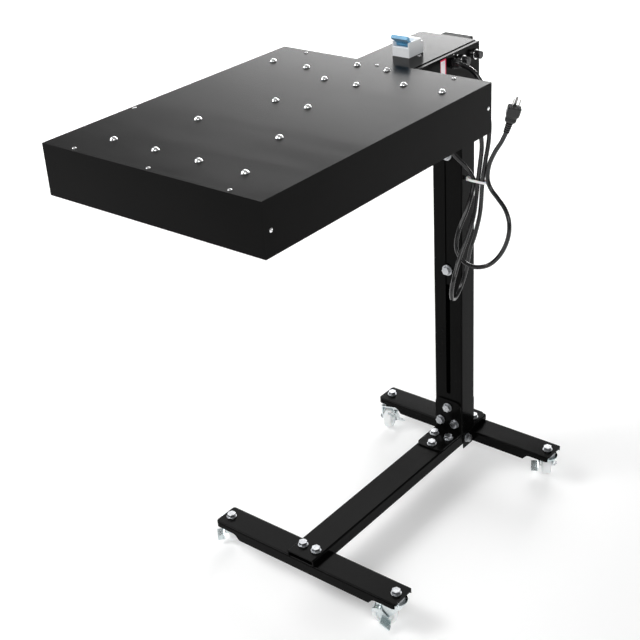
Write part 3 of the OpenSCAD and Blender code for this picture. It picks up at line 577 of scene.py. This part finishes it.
join(gland, lathe(nut, 40), out_x)
stem = [(0.0047, low.x - seat), (0.0077, low.x - seat), (0.0077, 0.001), (0.0047, 0.001),
        (0.0047, low.x - seat)]
join(gland, lathe(stem, 32), out_x)
new_object("cable_gland_detail", gland, "moulded", BODY_OF["cable_gland"], 0.5,
           ("cable_gland",))

tie = bmesh.new()
tie.from_mesh(frame["nodes"]["cable_tie"].data)
bmesh.ops.remove_doubles(tie, verts=tie.verts, dist=WELD_DISTANCE)
(low, high), = islands("cable_tie")
ratchet = loft([(4.6, 6.4, 1.0, -4.0), (5.4, 7.4, 1.2, -3.4), (5.4, 7.4, 1.2, 3.4), (4.6, 6.4, 1.0, 4.0)])
join(tie, ratchet, Matrix.Translation((low.x - 0.0012, (low.y + high.y) / 2, (low.z + high.z) / 2)))
tie_object = new_object("cable_tie_detail", tie, "tie", BODY_OF["cable_tie"], 0.5,
                        ("cable_tie",))

# ---------------------------------------------------------------- domes and screws
domes = bmesh.new()
for low, high in islands("dome_fasteners"):
    x, y = (low.x + high.x) / 2, (low.y + high.y) / 2
    rim = (high.x - low.x) / 2
    seat = high.z - DOME_HEIGHT
    join(domes, dome_head(rim, DOME_HEIGHT), Matrix.Translation((x, y, seat)))
    join(domes, shank(DOME_STEM_RADIUS, low.z - seat, 0.0006), Matrix.Translation((x, y, seat)))
new_object("dome_fasteners_detail", domes, "chrome", BODY_OF["dome_fasteners"], 0.6,
           ("dome_fasteners",))


def screws(node, outward):
    """Cross-recessed screws in place of a node's plain ones; outward gives each one's axis."""
    bm = bmesh.new()
    for k, (low, high) in enumerate(islands(node)):
        mid = (low + high) / 2
        axis = outward(low, high)
        along = [abs(c) > 0.5 for c in axis].index(True)
        others = [i for i in range(3) if i != along]
        radius = (high[others[0]] - low[others[0]]) / 2
        top = high[along] if axis[along] > 0 else low[along]
        height = 0.0022 if radius > 0.003 else 0.0010
        end = low[along] if axis[along] > 0 else high[along]
        seat = mid.copy()
        seat[along] = top - height * axis[along]
        turn = Vector((0, 0, 1)).rotation_difference(axis).to_matrix().to_4x4()
        place = Matrix.Translation(seat) @ turn @ Matrix.Rotation(0.6 + 1.3 * k, 4, "Z")
        join(bm, screw_head(radius, height, radius * 0.30, radius * 0.62, height * 0.55), place)
        join(bm, shank(radius * 0.5, -abs(end - seat[along]), height * 0.2), place)
    return new_object(node + "_detail", bm, "chrome", BODY_OF[node], 0.5, (node,))


def lid_or_side(low, high):
    if high.z - low.z > (high.y - low.y) * 1.01:
        return Vector((0, 0, 1))
    return Vector((1, 0, 0)) if low.x + high.x > 0 else Vector((-1, 0, 0))


screws("head_screws", lid_or_side)
screws("box_screws", lid_or_side)

# ---------------------------------------------------------------- stage
def floor_material():
    """White ground; it glows less near the object, where the lamps already light it."""
    g = Graph("floor")
    base = g.ramp(g.noise(2.0, 3.0), [(0.3, (0.86, 0.86, 0.86)), (0.7, (0.88, 0.88, 0.88))])
    fade = g.node("ShaderNodeTexGradient")
    fade.gradient_type = "SPHERICAL"
    g.link(g.stretch((0.25, 0.25, 0.25)), fade.inputs["Vector"])
    g.link(g.span(fade.outputs["Fac"], 0.0, 0.85, 0.58, 0.18), g.bsdf.inputs["Emission Strength"])
    return g.out(base, None, None, Roughness=0.8, Specular_IOR_Level=0.1,
                 Emission_Color=(1, 1, 1, 1))


M["floor"] = floor_material()
bm = bmesh.new()
bmesh.ops.create_grid(bm, x_segments=1, y_segments=1, size=14)
mesh = bpy.data.meshes.new("floor")
bm.to_mesh(mesh)
bm.free()
floor = bpy.data.objects.new("floor", mesh)
mesh.materials.append(M["floor"])
bpy.context.scene.collection.objects.link(floor)

world = bpy.data.worlds.new("studio")
bpy.context.scene.world = world
world.use_nodes = True
world.node_tree.nodes["Background"].inputs["Color"].default_value = (1.0, 1.0, 1.0, 1)
world.node_tree.nodes["Background"].inputs["Strength"].default_value = 0.32


def area(name, at, target, size, power, size_y=None):
    data = bpy.data.lights.new(name, "AREA")
    data.energy = power
    data.shape = "RECTANGLE"
    data.size = size
    data.size_y = size_y or size
    obj = bpy.data.objects.new(name, data)
    obj.location = at
    obj.rotation_euler = (Vector(target) - Vector(at)).to_track_quat("-Z", "Y").to_euler()
    bpy.context.scene.collection.objects.link(obj)
    return obj


area("key", (-2.2, -1.6, 3.0), (0, 0, 0.6), 1.6, 70)
area("fill", (2.4, -2.6, 2.9), (0, 0, 0.6), 1.8, 60)
area("top", (-3.6, 3.7, 4.5), (0, -0.2, 0.3), 3.2, 45, size_y=1.8)


def softbox(name, at, target, width, height, strong, weak):
    """An emitting panel, brightest at its lower right corner as seen from the object."""
    g = Graph(name)
    sep = g.node("ShaderNodeSeparateXYZ")
    g.link(g.coord, sep.inputs["Vector"])
    across = g.span(sep.outputs["X"], -width / 2, width / 2, 0.0, 1.0)
    upward = g.span(sep.outputs["Y"], -height / 2, height / 2, 1.0, 0.0)
    both = g.maths("MULTIPLY", g.maths("POWER", across, 1.25), g.maths("POWER", upward, 1.8))
    level = g.span(both, 0.0, 0.7, weak, strong)
    g.link(level, g.bsdf.inputs["Emission Strength"])
    mat = g.out(None, None, None, Base_Color=(0, 0, 0, 1), Emission_Color=(1, 1, 1, 1),
                Roughness=1.0, Specular_IOR_Level=0.0)
    bm = bmesh.new()
    corners = [(-1, -1), (1, -1), (1, 1), (-1, 1)]
    bm.faces.new([bm.verts.new((width / 2 * u, height / 2 * v, 0)) for u, v in corners])
    mesh = bpy.data.meshes.new(name)
    bm.to_mesh(mesh)
    bm.free()
    mesh.materials.append(mat)
    obj = bpy.data.objects.new(name, mesh)
    obj.location = at
    obj.rotation_euler = (Vector(target) - Vector(at)).to_track_quat("Z", "Y").to_euler()
    obj.visible_camera = False
    bpy.context.scene.collection.objects.link(obj)
    return obj


softbox("rear_softbox", (-3.17, 4.93, 2.7), (0.1, -0.1, 1.0), 5.7, 2.65, 26.0, 0.3)
bpy.context.scene.view_settings.view_transform = "Standard"
bpy.context.scene.view_settings.look = "None"
